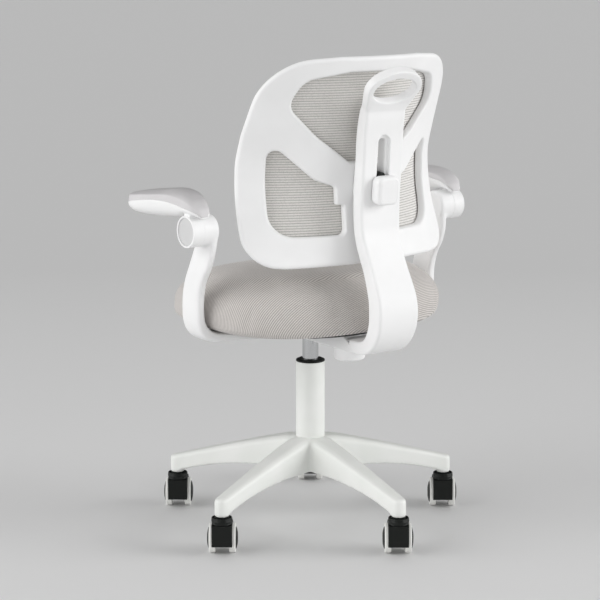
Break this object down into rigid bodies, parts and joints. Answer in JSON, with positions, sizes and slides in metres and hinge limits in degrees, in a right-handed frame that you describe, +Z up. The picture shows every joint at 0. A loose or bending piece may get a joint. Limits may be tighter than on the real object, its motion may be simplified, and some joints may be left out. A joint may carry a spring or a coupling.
{
  "type": "kids desk chair",
  "caption": "Child's swivel desk chair with a mesh back in a white frame, loop handle, flip-up armrests, fabric seat, gas lift and castered star base.",
  "frame": {"origin": "on the floor under the middle of the chair's box, 9 mm behind the gas lift's axis", "axes": "+Z up, +Y towards the chair's back, the sitter facing -Y, +X on the sitter's left"},
  "size_m": [0.57, 0.5246, 0.8275],
  "materials": {
    "white_plastic": "satin white moulded plastic",
    "black_plastic": "black moulded plastic",
    "pale_grey_plastic": "pale grey moulded plastic",
    "grey_soft_pad": "soft grey skin",
    "pale_tyre": "off-white tyre with a dark hub cap",
    "steel": "plain zinc-plated steel",
    "chrome": "polished chrome",
    "seat_fabric": "warm grey ribbed upholstery",
    "back_mesh_fabric": "grey open mesh"
  },
  "bodies": {
    "base": {"star_base": "white_plastic", "lift_column_tube": "white_plastic", "column_guide_bush": "black_plastic", "piston_rod": "steel", "thrust_bearing": "steel", "retaining_clip": "steel"},
    "lift": {"lift_cylinder": "chrome"},
    "release_pin": {"release_pin": "steel"},
    "seat": {"mechanism_housing": "white_plastic", "seat_pan": "black_plastic", "seat_cushion": "seat_fabric", "arm_post_left": "white_plastic", "arm_post_right": "white_plastic", "arm_hinge_pin_left": "steel", "arm_hinge_pin_right": "steel"},
    "lift_lever": {"lift_lever_rod": "steel", "lift_lever_paddle": "white_plastic"},
    "left_arm": {"armrest_shell_left": "white_plastic", "armrest_pad_left": "grey_soft_pad", "arm_hinge_cap_left": "pale_grey_plastic"},
    "right_arm": {"armrest_shell_right": "white_plastic", "armrest_pad_right": "grey_soft_pad", "arm_hinge_cap_right": "pale_grey_plastic"},
    "back_bar": {"back_bar": "white_plastic"},
    "depth_knob": {"depth_knob": "white_plastic", "depth_knob_screw": "steel"},
    "back": {"back_frame": "white_plastic", "back_mesh": "back_mesh_fabric", "back_carriage": "white_plastic", "slide_block": "black_plastic"},
    "height_knob": {"height_knob": "white_plastic", "height_knob_screw": "steel"},
    "caster_rear": {"caster_rear_stem": "steel", "caster_rear_hood": "black_plastic", "caster_rear_axle": "steel"},
    "wheel_rear_left": {"caster_rear_wheel_left": "pale_tyre"},
    "wheel_rear_right": {"caster_rear_wheel_right": "pale_tyre"},
    "caster_right": {"caster_right_stem": "steel", "caster_right_hood": "black_plastic", "caster_right_axle": "steel"},
    "wheel_right_left": {"caster_right_wheel_left": "pale_tyre"},
    "wheel_right_right": {"caster_right_wheel_right": "pale_tyre"},
    "caster_front_right": {"caster_front_right_stem": "steel", "caster_front_right_hood": "black_plastic", "caster_front_right_axle": "steel"},
    "wheel_front_right_left": {"caster_front_right_wheel_left": "pale_tyre"},
    "wheel_front_right_right": {"caster_front_right_wheel_right": "pale_tyre"},
    "caster_front_left": {"caster_front_left_stem": "steel", "caster_front_left_hood": "black_plastic", "caster_front_left_axle": "steel"},
    "wheel_front_left_left": {"caster_front_left_wheel_left": "pale_tyre"},
    "wheel_front_left_right": {"caster_front_left_wheel_right": "pale_tyre"},
    "caster_left": {"caster_left_stem": "steel", "caster_left_hood": "black_plastic", "caster_left_axle": "steel"},
    "wheel_left_left": {"caster_left_wheel_left": "pale_tyre"},
    "wheel_left_right": {"caster_left_wheel_right": "pale_tyre"}
  },
  "joints": [
    {"name": "lift_slide", "type": "slide", "parent": "base", "child": "lift", "axis": [0, 0, 1], "range_m": [-0.03, 0.06]},
    {"name": "seat_swivel", "type": "hinge", "parent": "lift", "child": "seat", "pos_m": [0, -0.009, 0.34], "axis": [0, 0, 1], "continuous": true},
    {"name": "lift_lever_pivot", "type": "hinge", "parent": "seat", "child": "lift_lever", "pos_m": [-0.03325, -0.009, 0.3513], "axis": [0, 1, 0], "range_deg": [0, 6], "stiffness_Nm_per_rad": 6, "springref_deg": -2.86},
    {"name": "release_pin_slide", "type": "slide", "parent": "lift", "child": "release_pin", "axis": [0, 0, -1], "range_m": [0, 0.0035]},
    {"name": "left_arm_hinge", "type": "hinge", "parent": "seat", "child": "left_arm", "pos_m": [0.283, 0.0366, 0.5455], "axis": [-1, 0, 0], "range_deg": [0, 90]},
    {"name": "right_arm_hinge", "type": "hinge", "parent": "seat", "child": "right_arm", "pos_m": [-0.283, 0.0366, 0.5455], "axis": [-1, 0, 0], "range_deg": [0, 90]},
    {"name": "back_depth_slide", "type": "slide", "parent": "seat", "child": "back_bar", "axis": [0, 1, 0], "range_m": [0, 0.035]},
    {"name": "depth_knob_turn", "type": "hinge", "parent": "seat", "child": "depth_knob", "pos_m": [0, 0.103, 0.322], "axis": [0, 0, 1], "continuous": true},
    {"name": "back_height_slide", "type": "slide", "parent": "back_bar", "child": "back", "axis": [0, 0.0732, 0.9973], "range_m": [0, 0.05]},
    {"name": "height_knob_turn", "type": "hinge", "parent": "back", "child": "height_knob", "pos_m": [0, 0.17672, 0.6105], "axis": [0, 0.9973, -0.0732], "continuous": true},
    {"name": "caster_rear_swivel", "type": "hinge", "parent": "base", "child": "caster_rear", "pos_m": [0, 0.2405, 0.0672], "axis": [0, 0, 1], "continuous": true},
    {"name": "wheel_rear_left_roll", "type": "hinge", "parent": "caster_rear", "child": "wheel_rear_left", "pos_m": [-0.01176, 0.22432, 0.025], "axis": [0.809, -0.5878, 0], "continuous": true},
    {"name": "wheel_rear_right_roll", "type": "hinge", "parent": "caster_rear", "child": "wheel_rear_right", "pos_m": [-0.01176, 0.22432, 0.025], "axis": [0.809, -0.5878, 0], "continuous": true},
    {"name": "caster_right_swivel", "type": "hinge", "parent": "base", "child": "caster_right", "pos_m": [-0.23729, 0.0681, 0.0672], "axis": [0, 0, 1], "continuous": true},
    {"name": "wheel_right_left_roll", "type": "hinge", "parent": "caster_right", "child": "wheel_right_left", "pos_m": [-0.24905, 0.05192, 0.025], "axis": [0.809, -0.5878, 0], "continuous": true},
    {"name": "wheel_right_right_roll", "type": "hinge", "parent": "caster_right", "child": "wheel_right_right", "pos_m": [-0.24905, 0.05192, 0.025], "axis": [0.809, -0.5878, 0], "continuous": true},
    {"name": "caster_front_right_swivel", "type": "hinge", "parent": "base", "child": "caster_front_right", "pos_m": [-0.14665, -0.21085, 0.0672], "axis": [0, 0, 1], "continuous": true},
    {"name": "wheel_front_right_left_roll", "type": "hinge", "parent": "caster_front_right", "child": "wheel_front_right_left", "pos_m": [-0.15841, -0.22703, 0.025], "axis": [0.809, -0.5878, 0], "continuous": true},
    {"name": "wheel_front_right_right_roll", "type": "hinge", "parent": "caster_front_right", "child": "wheel_front_right_right", "pos_m": [-0.15841, -0.22703, 0.025], "axis": [0.809, -0.5878, 0], "continuous": true},
    {"name": "caster_front_left_swivel", "type": "hinge", "parent": "base", "child": "caster_front_left", "pos_m": [0.14665, -0.21085, 0.0672], "axis": [0, 0, 1], "continuous": true},
    {"name": "wheel_front_left_left_roll", "type": "hinge", "parent": "caster_front_left", "child": "wheel_front_left_left", "pos_m": [0.13489, -0.22703, 0.025], "axis": [0.809, -0.5878, 0], "continuous": true},
    {"name": "wheel_front_left_right_roll", "type": "hinge", "parent": "caster_front_left", "child": "wheel_front_left_right", "pos_m": [0.13489, -0.22703, 0.025], "axis": [0.809, -0.5878, 0], "continuous": true},
    {"name": "caster_left_swivel", "type": "hinge", "parent": "base", "child": "caster_left", "pos_m": [0.23729, 0.0681, 0.0672], "axis": [0, 0, 1], "continuous": true},
    {"name": "wheel_left_left_roll", "type": "hinge", "parent": "caster_left", "child": "wheel_left_left", "pos_m": [0.22553, 0.05192, 0.025], "axis": [0.809, -0.5878, 0], "continuous": true},
    {"name": "wheel_left_right_roll", "type": "hinge", "parent": "caster_left", "child": "wheel_left_right", "pos_m": [0.22553, 0.05192, 0.025], "axis": [0.809, -0.5878, 0], "continuous": true}
  ],
  "couplings": [
    {"joint": "release_pin_slide", "follows": "lift_lever_pivot", "m_per_rad": 0.0333}
  ]
}
